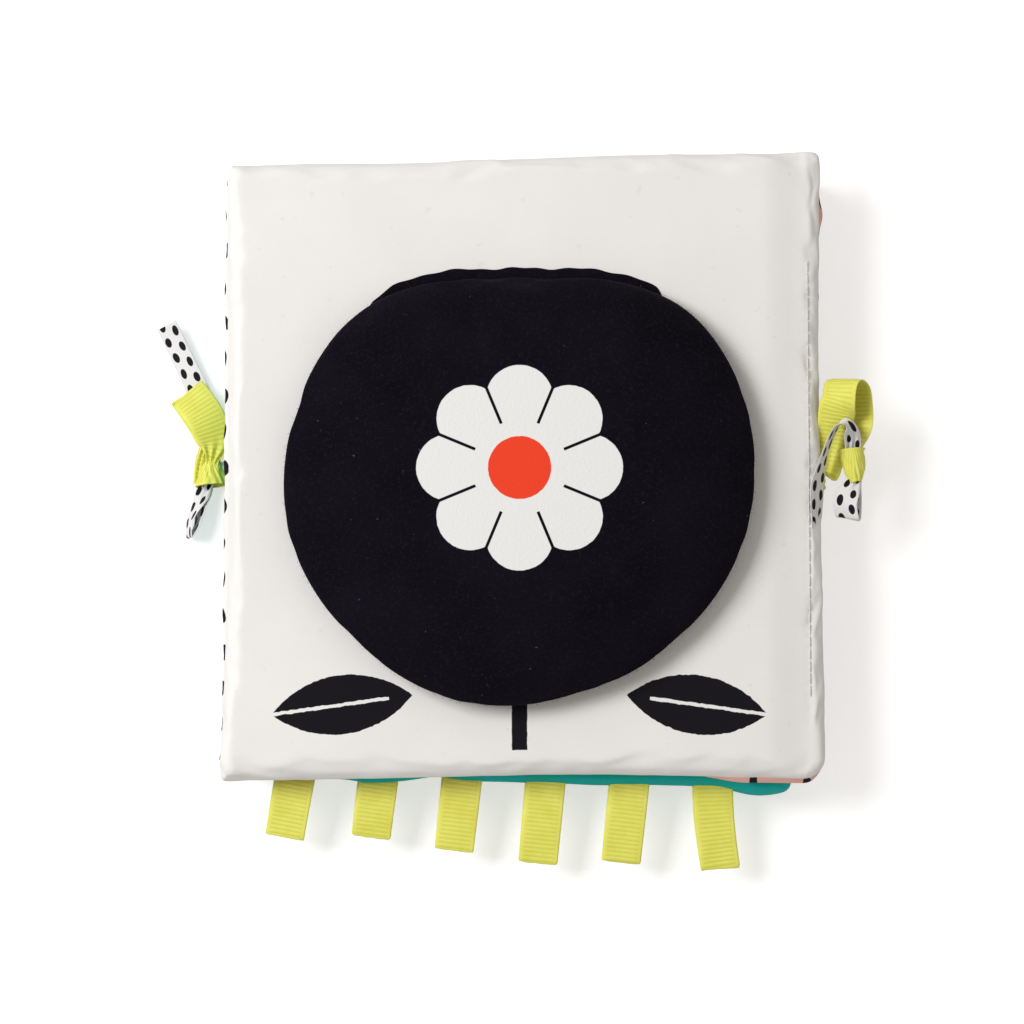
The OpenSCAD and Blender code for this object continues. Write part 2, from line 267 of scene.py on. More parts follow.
def made_final(piece):
    """Put a piece's modifiers into its mesh"""
    ready = piece.evaluated_get(bpy.context.evaluated_depsgraph_get())
    mesh = bpy.data.meshes.new_from_object(ready)
    mesh.name = piece.name
    piece.modifiers.clear()
    piece.data = mesh
    return piece


def subdivided(piece):
    smooth = piece.modifiers.new("smooth", "SUBSURF")
    smooth.levels = 1
    smooth.render_levels = 1
    return made_final(piece)


def panel_pad(name, left, right, place, spacing, radii, shift, slack, give, facing=None):
    """One padded panel: left and right are seam heights, and radii its corners, round from the top left;
    shift moves its outline, and facing says where the lower cloth turns over on top"""
    xs = panel_lines(panel_w, spacing[0])
    ys = panel_lines(panel_h, spacing[1])
    x, y = np.meshgrid(xs, ys, indexing="ij")
    rise = edge_rise(panel_w / 2 - abs(x)) * edge_rise(panel_h / 2 - abs(y))
    seam = seam_height(x, left, right)
    r = np.where(y > 0, np.where(x < 0, radii[0], radii[1]), np.where(x < 0, radii[3], radii[2]))
    dx = np.maximum(0, r - panel_w / 2 + abs(x))
    dy = np.maximum(0, r - panel_h / 2 + abs(y))
    pull = np.where(np.minimum(dx, dy) > 0, 1 - np.maximum(dx, dy) / np.maximum(np.hypot(dx, dy), 1e-6), 0)
    px = x - np.sign(x) * dx * pull
    py = y - np.sign(y) * dy * pull
    px, py = shift(px, py)
    thin = 0.25
    top = np.stack([px, py, seam + (panel_t - thin - seam) * rise], -1) + place
    bottom = np.stack([px, py, thin + (seam - thin) * (1 - rise)], -1) + place
    bottom[..., 2][rise == 0] = top[..., 2][rise == 0]
    count = x.size
    upper = np.arange(count).reshape(x.shape)
    lower = upper.copy()
    lower[1:-1, 1:-1] = count + np.arange((x.shape[0] - 2) * (x.shape[1] - 2)).reshape(x.shape[0] - 2, -1)
    points = np.concatenate([top.reshape(-1, 3), bottom[1:-1, 1:-1].reshape(-1, 3)])
    above = np.stack([upper[:-1, :-1], upper[1:, :-1], upper[1:, 1:], upper[:-1, 1:]], -1).reshape(-1, 4)
    below = np.stack([lower[:-1, :-1], lower[:-1, 1:], lower[1:, 1:], lower[1:, :-1]], -1).reshape(-1, 4)
    lines = []
    for steps in (xs, ys):
        heights = panel_t / 2 * edge_rise(steps.max() - abs(steps))
        run = np.concatenate([[0], np.cumsum(np.hypot(np.diff(steps), np.diff(heights)))])
        lines.append(run - run[-1] / 2)
    u, v = np.meshgrid(lines[0], lines[1], indexing="ij")
    across = np.concatenate([u.ravel(), u[1:-1, 1:-1].ravel()])
    along = np.concatenate([v.ravel(), v[1:-1, 1:-1].ravel()])
    pad = mesh_object(name, points, np.concatenate([above, below]), across, along)
    middles = points[above].mean(1)
    turned = facing(middles[:, 0], middles[:, 1] - place[1]) if facing else np.zeros(len(above), bool)
    cloths = np.concatenate([turned, np.ones(len(below), bool)])
    pad.data.polygons.foreach_set("material_index", cloths.astype(np.int32))
    rim = np.concatenate([upper[0], upper[-1], upper[1:-1, 0], upper[1:-1, -1]])
    fill_with_wadding(pad, rim, slack, give, place[2] + 0.02, place[2] + panel_t + 0.02)
    return subdivided(pad)


def corner_shift(corners, waves):
    """Moves a panel's outline by shifts for its corners, round from the top left, and by waves along
    its edges, each given by its side, middle, reach and size"""
    def shift(x, y):
        a = x / panel_w + 0.5
        b = y / panel_h + 0.5
        weights = ((1 - a) * b, a * b, a * (1 - b), (1 - a) * (1 - b))
        dx = sum(w * c[0] for w, c in zip(weights, corners))
        dy = sum(w * c[1] for w, c in zip(weights, corners))
        for side, middle, reach, size in waves:
            if side in "lr":
                near = smoothstep(0.7, 1, (-1 if side == "l" else 1) * 2 * x / panel_w)
                dx = dx + near * size * np.exp(-((y - middle) / reach) ** 2)
            else:
                near = smoothstep(0.7, 1, (-1 if side == "b" else 1) * 2 * y / panel_h)
                dy = dy + near * size * np.exp(-((x - middle) / reach) ** 2)
        return x + dx, y + dy
    return shift


# Plain-woven cotton: fine threads over and under, faint slubs and a slightly uneven tone.
# A printed cotton has its ink laid on that weave, with an edge that follows the threads.
thread_pitch = 0.5 * MM
ink = (0.005, 0.004, 0.007, 1)


def new_cloth(name, **finish):
    """A material with its finish set, its nodes and shader, and the place of each point"""
    material = bpy.data.materials.new(name)
    material.use_nodes = True
    shader = material.node_tree.nodes["Principled BSDF"]
    for label, value in finish.items():
        shader.inputs[label.replace("_", " ")].default_value = value
    n = Nodes(material.node_tree)
    return material, n, shader, n.add("ShaderNodeTexCoord").outputs["Object"]


def join_cloth(n, shader, colour, height, strength, depth):
    """Give a shader its colour and its relief"""
    n.join(colour, shader, "Base Color")
    bump = n.add("ShaderNodeBump", {"Height": height, "Strength": strength, "Distance": depth})
    n.join(bump.outputs[0], shader, "Normal")


def shaded(colour, share):
    return tuple(c * share for c in colour[:3]) + (1,)


def crossing_threads(n, across, along, pitches, tone):
    """The relief of fine threads that cross at the two pitches, made uneven by a tone"""
    warp = n.math("SINE", n.times(across, 2 * math.pi / pitches[0]))
    weft = n.math("SINE", n.times(along, 2 * math.pi / pitches[1]))
    return n.math("MULTIPLY_ADD", n.times(warp, weft), 0.5, tone)


def woven(name, colour, roughness=0.9, uneven=0.04, relief=0.06 * MM, printed=None, fleck=0.0):
    """A cotton's material; printed adds its print to the colour of the cloth"""
    material, n, shader, place = new_cloth(name, Roughness=roughness, Sheen_Weight=0.05, Sheen_Roughness=0.5,
                                           Specular_IOR_Level=0.2)
    across = n.attribute("across")
    along = n.attribute("along")
    slub = n.noise(place, 900.0, 2.0)
    cloth = n.mix(n.stretch(n.noise(place, 55.0, 3.0), 2.2, -0.6), shaded(colour, 1 - 2 * uneven), colour)
    cloth = n.mix(n.stretch(slub, 4.0, -2.3), cloth, shaded(colour, 1 - 1.5 * uneven))
    if fleck:
        spot = n.stretch(n.noise(place, 420.0, 1.0), 22.0, -16.2)
        cloth = n.mix(n.times(spot, fleck), cloth, (0.45, 0.38, 0.36, 1))
    if printed:
        cloth = printed(n, cloth, across, along, place)
    threads = crossing_threads(n, across, along, (thread_pitch, thread_pitch), slub)
    join_cloth(n, shader, cloth, threads, 0.6, relief)
    return material


def inked(n, depth):
    """Full ink where the depth inside an outline is above 0, with an edge an eighth of a millimetre wide"""
    return n.times(depth, 8 / MM, clamp=True)


def spots(n, cloth, across, along, place, gap, radii, wander):
    """Staggered rows of oval spots, a little out of line, as a brush would set them"""
    drift = n.add("ShaderNodeTexNoise", {"Vector": place, "Scale": 130.0, "Detail": 0.0}).outputs[1]
    drift = n.add("ShaderNodeSeparateXYZ", {0: drift})
    u = n.math("MULTIPLY_ADD", n.minus(drift.outputs[0], 0.5), wander, across)
    v = n.math("MULTIPLY_ADD", n.minus(drift.outputs[1], 0.5), wander, along)
    masks = []
    for half in (0.0, 0.5):
        du = n.math("FRACT", n.plus(n.math("DIVIDE", u, gap[0]), half))
        dv = n.math("FRACT", n.plus(n.math("DIVIDE", v, gap[1]), half))
        du = n.times(n.minus(du, 0.5), gap[0] / radii[0])
        dv = n.times(n.minus(dv, 0.5), gap[1] / radii[1])
        masks.append(n.times(n.minus(1.0, n.length(du, dv)), 9.0, clamp=True))
    return n.mix(n.math("MAXIMUM", masks[0], masks[1]), cloth, ink)


def page_spots(n, cloth, across, along, place):
    return spots(n, cloth, across, along, place, (13 * MM, 9.4 * MM), (1.2 * MM, 2.1 * MM), 2.4 * MM)


white_colour = (0.84, 0.83, 0.815, 1)
dotted_cotton = woven("dotted cotton", white_colour, printed=page_spots)
teal_cotton = woven("teal cotton", (0.003, 0.46, 0.425, 1), uneven=0.05)
peach_cotton = woven("peach cotton", (0.93, 0.51, 0.43, 1), printed=page_spots)


def at_place(z, y=0.0):
    return np.array([0.0, y, z])


# The back cover lies on the table: dotted cotton outside, teal inside, free edge at the left.
back_shift = corner_shift(((1.2, -1.2), (-0.4, 0.2), (-0.5, 0.6), (1.6, 0.8)), (("l", 15, 40, 0.5),))
back = panel_pad("back_cover_pad", free_edge, fold_above, at_place(0), spacing=(3, 3), radii=(3, 3, 3, 3),
                 shift=back_shift, slack=0.01, give=0.9)
back.data.materials.append(teal_cotton)
back.data.materials.append(dotted_cotton)
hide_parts("back_outer", "back_wadding", "back_inner")
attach(back, "back_cover")

# The page: dotted cotton above and teal below. The teal is turned up over the bottom edge as a
# narrow facing, it hangs out under the cover, and its seam puckers between the ribbon tags.
page_waves = (("b", -38, 7, -0.5), ("b", -20, 5, 1.1), ("b", 22, 9, -0.3), ("b", 67, 8, -1.7),
              ("r", -43, 8, 0.6), ("r", 66, 5, 0.4))
page_shift = corner_shift(((0.6, 0.6), (-0.4, 1.4), (-7.5, -0.2), (1.4, 2.7)), page_waves)


def teal_facing(x, y):
    return y < 9 - panel_h / 2


page = panel_pad("page_pad", fold_above, fold_below, at_place(page_z, -page_drop), spacing=(3, 2.4),
                 radii=(3, 3, 2.5, 3), shift=page_shift, slack=0.02, give=1.0, facing=teal_facing)
page.data.materials.append(dotted_cotton)
page.data.materials.append(teal_cotton)
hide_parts("page_reverse", "page_wadding", "page_face")
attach(page, "page")

# The front cover: off-white cotton over a peach lining. A stem and two leaves are printed below
# the flap, and the free edge at the right is closed with one row of topstitching.
leaf_l = 36 * MM
leaf_w = 15 * MM
leaf_tilt = math.radians(-8)
leaf_place = (27 * MM, -58.5 * MM)
vein_w = 1 * MM
stem_w = 4 * MM
stem_foot = -72.5 * MM
stem_top = -50 * MM
flap_middle = (-0.9 * MM, -2.35 * MM)


def leaf_print(n, cloth, across, along, place):
    """A stem and two mirrored leaves with a bare vein, drawn on the cloth's own place"""
    split = n.add("ShaderNodeSeparateXYZ", {0: place})
    rough = n.times(n.minus(n.noise(place, 700.0, 1.0), 0.5), 0.3 * MM)
    x = n.math("ABSOLUTE", n.minus(split.outputs[0], flap_middle[0]))
    y = n.plus(split.outputs[1], rough)
    dx = n.minus(x, leaf_place[0])
    dy = n.minus(y, leaf_place[1])
    turn = (math.cos(leaf_tilt), math.sin(leaf_tilt))
    run = n.plus(n.times(dx, turn[0]), n.times(dy, turn[1]))
    off = n.minus(n.times(dy, turn[0]), n.times(dx, turn[1]))
    off = n.math("ABSOLUTE", n.plus(off, rough))
    arc = (leaf_l ** 2 / 4 + leaf_w ** 2 / 4) / leaf_w
    reach = n.length(n.minus(run, leaf_l / 2), n.plus(off, arc - leaf_w / 2))
    vein = n.times(inked(n, n.minus(vein_w / 2, off)), n.math("GREATER_THAN", run, leaf_l / 6))
    leaf = n.minus(inked(n, n.minus(arc, reach)), vein, clamp=True)
    stem = n.times(inked(n, n.minus(stem_w / 2, n.plus(x, rough))), inked(n, n.minus(y, stem_foot)))
    stem = n.times(stem, n.math("LESS_THAN", y, stem_top))
    top_side = n.math("GREATER_THAN", split.outputs[2], (cover_z + free_edge) * MM)
    return n.mix(n.times(n.math("MAXIMUM", leaf, stem), top_side), cloth, ink)


white_cotton = woven("off-white cotton", white_colour, printed=leaf_print, fleck=0.12, uneven=0.02)
cover_waves = (("l", -15, 55, 1.5), ("t", 30, 26, 0.5), ("t", -30, 18, -0.4), ("b", 12, 40, 1.1),
               ("r", -60, 12, 0.4), ("r", 20, 30, -0.4))
cover_shift = corner_shift(((0, -0.3), (0.1, 2.8), (0.3, -1.1), (-1.2, -1.6)), cover_waves)
stitch_pitch = 3.1
stitch_x = panel_w / 2 - 3.4
stitch_groove = (-62, 55)
groove_fade = 6
flat_from = 61
white_turn = 5
cover = panel_pad("front_cover_pad", fold_below, free_edge, at_place(cover_z),
                  spacing=(2.4, stitch_pitch / 2), radii=(1.5, 2, 5.5, 1.5), shift=cover_shift,
                  slack=0.02, give=1.0)
cover.data.materials.append(white_cotton)
cover.data.materials.append(peach_cotton)


def sewn_down(points):
    """The right edge, flattened from its seam to the topstitching, which draws a dent at each needle hole"""
    x, y, z = points.T
    middle = cover_z + free_edge
    low, high = stitch_groove
    ends = smoothstep(low - groove_fade, low, y) * smoothstep(high + groove_fade, high, y)
    hole = 0.5 + 0.5 * np.cos(2 * math.pi * y / stitch_pitch)
    groove = np.exp(-((x - stitch_x) / 0.9) ** 2) * ends * (0.08 + 0.22 * hole)
    z = middle + (z - middle) * (1 - 0.34 * smoothstep(flat_from, stitch_x, x))
    return np.stack([x, y, np.where(z > middle, z - groove, z + groove)], -1)


def lining_out(points):
    """The lining rolls out past the seam at the bottom right and near the top of the right edge"""
    x, y, z = points.T
    below = z < cover_z + free_edge - 0.05
    low = np.exp(-((y + panel_h / 2 - 0.6) / 2) ** 2) * smoothstep(42, 58, x) * smoothstep(76, 71, x)
    side = np.exp(-((x - panel_w / 2 + 1) / 1.8) ** 2) * np.exp(-((y - 65) / 4) ** 2)
    return np.stack([x + np.where(below, 1.4 * side, 0), y - np.where(below, 2 * low, 0), z], -1)


write_points(cover.data, lining_out(sewn_down(read_points(cover.data))))
# Beside the fold the white cloth turns under, so no peach shows there.
index = np.empty(len(cover.data.polygons), np.int32)
cover.data.polygons.foreach_get("material_index", index)
middles = np.empty(len(index) * 3, np.float32)
cover.data.polygons.foreach_get("center", middles)
index[middles[::3] < (white_turn - panel_w / 2) * MM] = 0
cover.data.polygons.foreach_set("material_index", index)
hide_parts("cover_face", "cover_wadding", "cover_lining", "leaf_print")
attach(cover, "front_cover")

# The topstitching along the cover's right edge: white cotton thread, one stitch every 3.1 mm,
# locked through both cloths, so it shows above and below.


def tree_with(name, **sockets):
    """A geometry tree with named inputs, and its nodes"""
    tree = bpy.data.node_groups.new(name, "GeometryNodeTree")
    tree.interface.new_socket(name="Geometry", in_out="OUTPUT", socket_type="NodeSocketGeometry")
    tree.interface.new_socket(name="Geometry", in_out="INPUT", socket_type="NodeSocketGeometry")
    for label, kind in sockets.items():
        tree.interface.new_socket(name=label.replace("_", " "), in_out="INPUT",
                                  socket_type="NodeSocket" + kind)
    n = Nodes(tree)
    return tree, n, n.add("NodeGroupInput").outputs


def end_tree(n, geometry, material):
    """Every tree ends in real geometry with its material"""
    real = n.add("GeometryNodeRealizeInstances", {0: geometry})
    finished = n.add("GeometryNodeSetMaterial", {"Geometry": real.outputs[0], "Material": material})
    n.add("NodeGroupOutput", {0: finished.outputs[0]})


def run_tree(piece, tree, **values):
    """Put a tree on a piece with its inputs set, and make the result the piece's mesh"""
    nodes = piece.modifiers.new(tree.name, "NODES")
    nodes.node_group = tree
    for item in tree.interface.items_tree:
        key = item.name.replace(" ", "_")
        if item.in_out == "INPUT" and key in values:
            nodes[item.identifier] = values[key]
    return made_final(piece)


def named(n, label, kind="FLOAT"):
    return n.add("GeometryNodeInputNamedAttribute", {0: label}, data_type=kind).outputs[0]


def bent_thread(n, bends, sides, places, thickness, caps):
    """A short thread curved from the first of three places, by way of the second, to the third"""
    start, bow, end = (n.add("ShaderNodeCombineXYZ", place).outputs[0] for place in places)
    curve = n.add("GeometryNodeCurveQuadraticBezier",
                  {"Resolution": bends, "Start": start, "Middle": bow, "End": end})
    ply = n.add("GeometryNodeCurvePrimitiveCircle", {"Resolution": sides, "Radius": n.times(thickness, 0.5)})
    thread = n.add("GeometryNodeCurveToMesh", {0: curve.outputs[0], 1: ply.outputs[0], "Fill Caps": caps})
    return thread.outputs[0]


def spun(name, colour):
    """Twisted sewing thread"""
    material, n, shader, place = new_cloth(name, Roughness=0.7, Sheen_Weight=0.05)
    twist = n.noise(place, 2600.0, 2.0)
    thread = n.mix(n.stretch(twist, 3.0, -1.0), shaded(colour, 0.7), colour)
    join_cloth(n, shader, thread, twist, 0.5, 0.03 * MM)
    return material


def row_of_stitches():
    """A tree that lays an arched stitch at each point, turned by the point's own turn"""
    tree, n, given = tree_with("row of stitches", Stitch_Length="Float", Rise="Float", Thickness="Float",
                               Material="Material")
    half = n.times(given["Stitch Length"], 0.5)
    arch = ({0: n.times(half, -1.0)}, {2: given["Rise"]}, {0: half})
    thread = bent_thread(n, 5, 6, arch, given["Thickness"], True)
    places = n.add("GeometryNodeMeshToPoints", {0: given["Geometry"]})
    turn = n.add("FunctionNodeEulerToRotation", {0: named(n, "turn", "FLOAT_VECTOR")})
    placed = n.add("GeometryNodeInstanceOnPoints", {"Points": places.outputs[0], "Instance": thread,
                                                    "Rotation": turn.outputs[0]})
    end_tree(n, placed.outputs[0], given["Material"])
    return tree


def stitch_row(name, middles, turns, length, rise, thickness, material):
    """A row of stitches at the given middles, each turned as the seam runs there"""
    mesh = bpy.data.meshes.new(name)
    mesh.from_pydata((np.asarray(middles) * MM).tolist(), [], [])
    set_attribute(mesh, "turn", turns, "FLOAT_VECTOR")
    row = bpy.data.objects.new(name, mesh)
    scene.collection.objects.link(row)
    return run_tree(row, row_of_stitches(), Stitch_Length=length * MM, Rise=rise * MM,
                    Thickness=thickness * MM, Material=material)


white_thread = spun("white thread", (0.8, 0.79, 0.77, 1))
stitches = range(-19, 17)
middles = []
turns = []
for k in stitches:
    y = (k + 0.5) * stitch_pitch
    for start, down in ((0.06, -1), (0.0, 1)):
        hit, at, *_ = cover.ray_cast(Vector((stitch_x * MM, y * MM, start)), Vector((0, 0, down)))
        if hit and abs(at.z / MM - cover_z - free_edge) < 5:
            middles.append((stitch_x, y, at.z / MM - down * 0.05))
            turns.append((0 if down < 0 else math.pi, 0, math.pi / 2))
topstitch = stitch_row("cover_topstitching", middles, turns, length=2.7, rise=0.45, thickness=0.32,
                       material=white_thread)
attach(topstitch, "front_cover")

# The folds: where two panels join, their cloth runs round the stitched fold
# in a narrow slack strip.
strip_end = 4
strip_tuck = 2.4
strip_half = 1.5
strip_t = 0.3
strip_rows = 118
strip_cuts = 13


def fold_strip(name, side, outline, middle, cloths):
    """Cloth from a panel's outline round the fold line at one side; cloths says which cloth lies where"""
    ys = np.linspace(strip_end - panel_h / 2, panel_h / 2 - strip_end, strip_rows)
    edge = abs(outline(np.full_like(ys, side * panel_w / 2), ys)[0])[:, None]
    outer = np.maximum(edge, (panel_w + fold_gap) / 2)
    y, k = np.meshgrid(ys, np.linspace(-1, 1, strip_cuts), indexing="ij")
    slack = 0.3 + 0.15 * np.sin(y * 0.31) + 0.1 * np.sin(y * 0.83 + 1)
    walls = []
    for inset in (0.0, strip_t):
        reach = outer + slack - inset - (outer - edge + strip_tuck) * (1 - np.cos(k * math.pi / 2))
        walls.append(np.stack([side * reach, y, middle + (strip_half - inset) * k], -1))
    ring = np.concatenate([walls[0], walls[1][:, ::-1]], 1)
    grid = np.arange(ring.shape[0] * ring.shape[1]).reshape(ring.shape[:2])
    faces = np.concatenate([tube_faces(grid), [face[::-1] for face in end_faces(grid)]])
    faces = faces if side < 0 else faces[:, ::-1]
    steps = np.linalg.norm(np.diff(walls[0][..., [0, 2]], axis=1), axis=2)
    run = np.cumsum(np.pad(steps, ((0, 0), (1, 0))), 1)
    run = run - run[:, strip_cuts // 2][:, None]
    width = np.concatenate([run, run[:, ::-1]], 1)
    length = np.repeat(y[:, :1], 2 * strip_cuts, 1)
    strip = mesh_object(name, ring.reshape(-1, 3), faces, width.ravel(), length.ravel())
    centres = ring.reshape(-1, 3)[faces][:, :, 1].mean(1)
    index = np.zeros(len(faces), np.int32)
    for i, (cloth, low, high) in enumerate(cloths):
        strip.data.materials.append(cloth)
        index[(centres >= low) & (centres < high)] = i
    strip.data.polygons.foreach_set("material_index", index)
    return strip


cover_strip = fold_strip("cover_fold_strip", -1, cover_shift, cover_z - fold_gap / 2,
                         [(dotted_cotton, -panel_h / 2, panel_h / 2)])
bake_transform(cover_strip)
page_strip = fold_strip("page_fold_strip", 1, page_shift, page_z - fold_gap / 2,
                        [(dotted_cotton, -panel_h / 2, 56), (teal_cotton, -56, -32),
                         (peach_cotton, 56, panel_h / 2)])
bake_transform(page_strip)

# The lift-up flap: a round pad of brushed black cotton, printed with a white daisy and a red
# centre. Its straight top is sewn to the cover through a narrow hem of the back cloth.
flap_r = 58.75
flap_face_top = 50.5
flap_t = 13.0
flap_low = 0.15
flap_high = flap_t - 0.4
flap_z = cover_z + panel_t + 0.5
flap_seam = 5.0
sewn_seam = 1.3
flap_flat = 0.6
flap_sides = 132
flap_rings = 22
wander_angles = (0, 15, 40, 75, 105, 135, 165, 195, 225, 255, 285, 315, 345)
wander_sizes = (0.1, 0.5, 0.6, 0.4, 0.2, -0.9, -0.7, 1.1, 0.2, 1, -1.2, -1.2, 0.1)


def flap_reach(angle, top, cut=10.0):
    """The flap's outline: a hand-cut circle, flatter at its sewn top, and squarer with a high cut"""
    rise = np.maximum(np.sin(angle), 1e-3)
    circle = (flap_r ** -cut + (top / rise) ** -cut) ** (-1 / cut)
    degrees = np.degrees(angle) % 360
    return circle + np.interp(degrees, wander_angles + (360,), wander_sizes + wander_sizes[:1])


def brushed_black(name, printed=None):
    """Brushed cotton dyed near black, with a violet tone, a soft nap and some pale lint"""
    material, n, shader, place = new_cloth(name, Roughness=0.95, Specular_IOR_Level=0.1, Sheen_Weight=0.02,
                                           Sheen_Roughness=0.35, Sheen_Tint=(0.6, 0.65, 0.9, 1))
    nap = n.noise(place, 1500.0, 3.0)
    cloth = n.mix(n.stretch(n.noise(place, 45.0, 3.0), 2.5, -0.75), (0.0022, 0.0012, 0.0038, 1),
                  (0.0048, 0.0034, 0.0078, 1))
    cloth = n.mix(n.stretch(nap, 3.0, -1.55), cloth, (0.011, 0.009, 0.016, 1))
    cloth = n.mix(n.stretch(n.noise(place, 750.0, 2.0), 26.0, -19.8), cloth, (0.07, 0.07, 0.085, 1))
    if printed:
        cloth = printed(n, cloth, place)
    join_cloth(n, shader, cloth, nap, 0.8, 0.12 * MM)
    return material


petal_count = 8
petal_r = 8.5 * MM
petal_reach = 17.5 * MM
parting_w = 0.9 * MM
parting_start = 12 * MM
heart_r = 8 * MM


def daisy_print(n, cloth, place):
    """Eight round white petals parted by thin dark lines, round a red centre"""
    split = n.add("ShaderNodeSeparateXYZ", {0: place})
    x = n.minus(split.outputs[0], flap_middle[0])
    y = n.minus(split.outputs[1], flap_middle[1])
    rough = n.times(n.minus(n.noise(place, 800.0, 1.0), 0.5), 0.25 * MM)
    far = n.plus(n.length(x, y), rough)
    wedge = 2 * math.pi / petal_count
    angle = n.math("DIVIDE", n.math("ARCTAN2", y, x), wedge)
    angle = n.minus(n.math("FRACT", n.plus(angle, 0.5)), 0.5)
    angle = n.times(n.math("ABSOLUTE", angle), wedge)
    side = n.times(far, n.math("SINE", angle))
    ahead = n.minus(n.times(far, n.math("COSINE", angle)), petal_reach)
    petal = inked(n, n.minus(petal_r, n.length(ahead, side)))
    white = n.math("MAXIMUM", petal, inked(n, n.minus(petal_reach, far)))
    off = n.times(far, n.math("SINE", n.minus(wedge / 2, angle)))
    parting = n.times(inked(n, n.minus(parting_w / 2, off)), n.math("GREATER_THAN", far, parting_start))
    white = n.minus(white, parting, clamp=True)
    top_side = n.math("GREATER_THAN", split.outputs[2], (flap_z + flap_seam) * MM)
    cloth = n.mix(n.times(white, top_side), cloth, (0.8, 0.8, 0.79, 1))
    heart = inked(n, n.minus(heart_r, far))
    return n.mix(n.times(heart, top_side), cloth, (0.83, 0.06, 0.025, 1))


black_cotton = brushed_black("brushed black cotton", daisy_print)
turn = 2 * math.pi * np.arange(flap_sides) / flap_sides
out = np.sin(np.linspace(0, math.pi / 2, flap_rings + 1)[1:]) ** 0.85
k, a = np.meshgrid(out, turn, indexing="ij")
sewn = smoothstep(0.55, 0.9, np.sin(a))
seam = flap_seam + (sewn_seam - flap_seam) * sewn
roll = np.sqrt(1 - np.clip((k - flap_flat) / (1 - flap_flat), 0, 1) ** 2)
reach = k * flap_reach(a, flap_face_top)
centre = (flap_middle[0] / MM, flap_middle[1] / MM)
fx = centre[0] + reach * np.cos(a)
fy = centre[1] + reach * np.sin(a)
top = np.stack([fx, fy, flap_z + seam + (flap_high - seam) * roll], -1)
bottom = np.stack([fx, fy, flap_z + seam + (flap_low - seam) * roll], -1)[:-1]
points = np.concatenate([top.reshape(-1, 3), bottom.reshape(-1, 3),
                         [[*centre, flap_z + flap_high], [*centre, flap_z + flap_low]]])
upper = np.arange(k.size).reshape(k.shape)
lower = np.concatenate([k.size + np.arange(k.size - flap_sides).reshape(-1, flap_sides), upper[-1:]])
faces = []
for grid, middle, flip in ((upper, len(points) - 2, False), (lower, len(points) - 1, True)):
    quads = tube_faces(grid)
    fan = np.stack([np.full(flap_sides, middle), grid[0], np.roll(grid[0], -1)], -1)
    faces += (quads[:, ::-1] if flip else quads).tolist() + (fan[:, ::-1] if flip else fan).tolist()
flap = mesh_object("flap_pad", points, faces, points[:, 0], points[:, 1])
napped_top = 0.86
napped_below = 0.9
edge_band = np.concatenate([k.ravel() > napped_top, k[:-1].ravel() > napped_below, [False, False]])
set_attribute(flap.data, "rim", edge_band)
fill_with_wadding(flap, upper[-1], slack=0.02, give=1.0, lowest=flap_z + 0.02, highest=flap_z + flap_t + 0.5)
subdivided(flap)
flap.data.materials.append(black_cotton)
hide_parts("flap_face", "flap_back", "flap_filling", "petal_print", "centre_print")
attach(flap, "flap")

# The flap's hem: a narrow double strip of the same brushed cotton, left beyond the straight seam
# and sewn down on the cover, so the flap turns up on it.
plain_black = brushed_black("plain brushed black")
hem_from = 47
hem_to = 137
hem_taper = 7
hem_cuts = 151
hem_top = 52.7
hem_cut = 24.0
hem_tuck = 2.5
hem_end = 1.5
hem_angles = np.linspace(hem_from, hem_to, hem_cuts)
hem_turn = np.radians(hem_angles)
taper = smoothstep(hem_from, hem_from + hem_taper, hem_angles)
taper = taper * smoothstep(hem_to, hem_to - hem_taper, hem_angles)
inner = flap_reach(hem_turn, flap_face_top) - hem_tuck
outer = flap_reach(hem_turn, hem_top, hem_cut)
outer = outer + 0.25 * np.sin(hem_turn * 21) + 0.15 * np.sin(hem_turn * 47 + 1)
outer = inner + hem_end + (outer - inner - hem_end) * taper
profile = np.array([(-1, 0.55), (-0.5, 0.8), (0, 0.8), (0.5, 0.75), (0.85, 0.6), (1, 0.35), (0.85, 0.1),
                    (0.5, 0.05), (0, 0.05), (-0.5, 0.05), (-1, 0.05)])
hem_reach = inner[:, None] + (outer - inner)[:, None] * (profile[None, :, 0] + 1) / 2
hem_z = cover_z + panel_t + 0.05 + profile[None, :, 1] * (1 + 0.12 * np.sin(hem_turn * 52))[:, None]
hem_points = np.stack([centre[0] + hem_reach * np.cos(hem_turn)[:, None],
                       centre[1] + hem_reach * np.sin(hem_turn)[:, None], hem_z], -1)
grid = np.arange(hem_cuts * len(profile)).reshape(hem_cuts, -1)
quads = tube_faces(grid).tolist()
hem = mesh_object("flap_hem", hem_points.reshape(-1, 3), quads + [grid[0].tolist(), grid[-1].tolist()[::-1]],
                  hem_points[..., 0].ravel(), hem_points[..., 1].ravel())
hem.data.materials.append(plain_black)
subdivided(hem)
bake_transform(hem)

# The brushed nap: short loose fibres of the same black cotton stand up along the flap's rim
# and soften its outline.


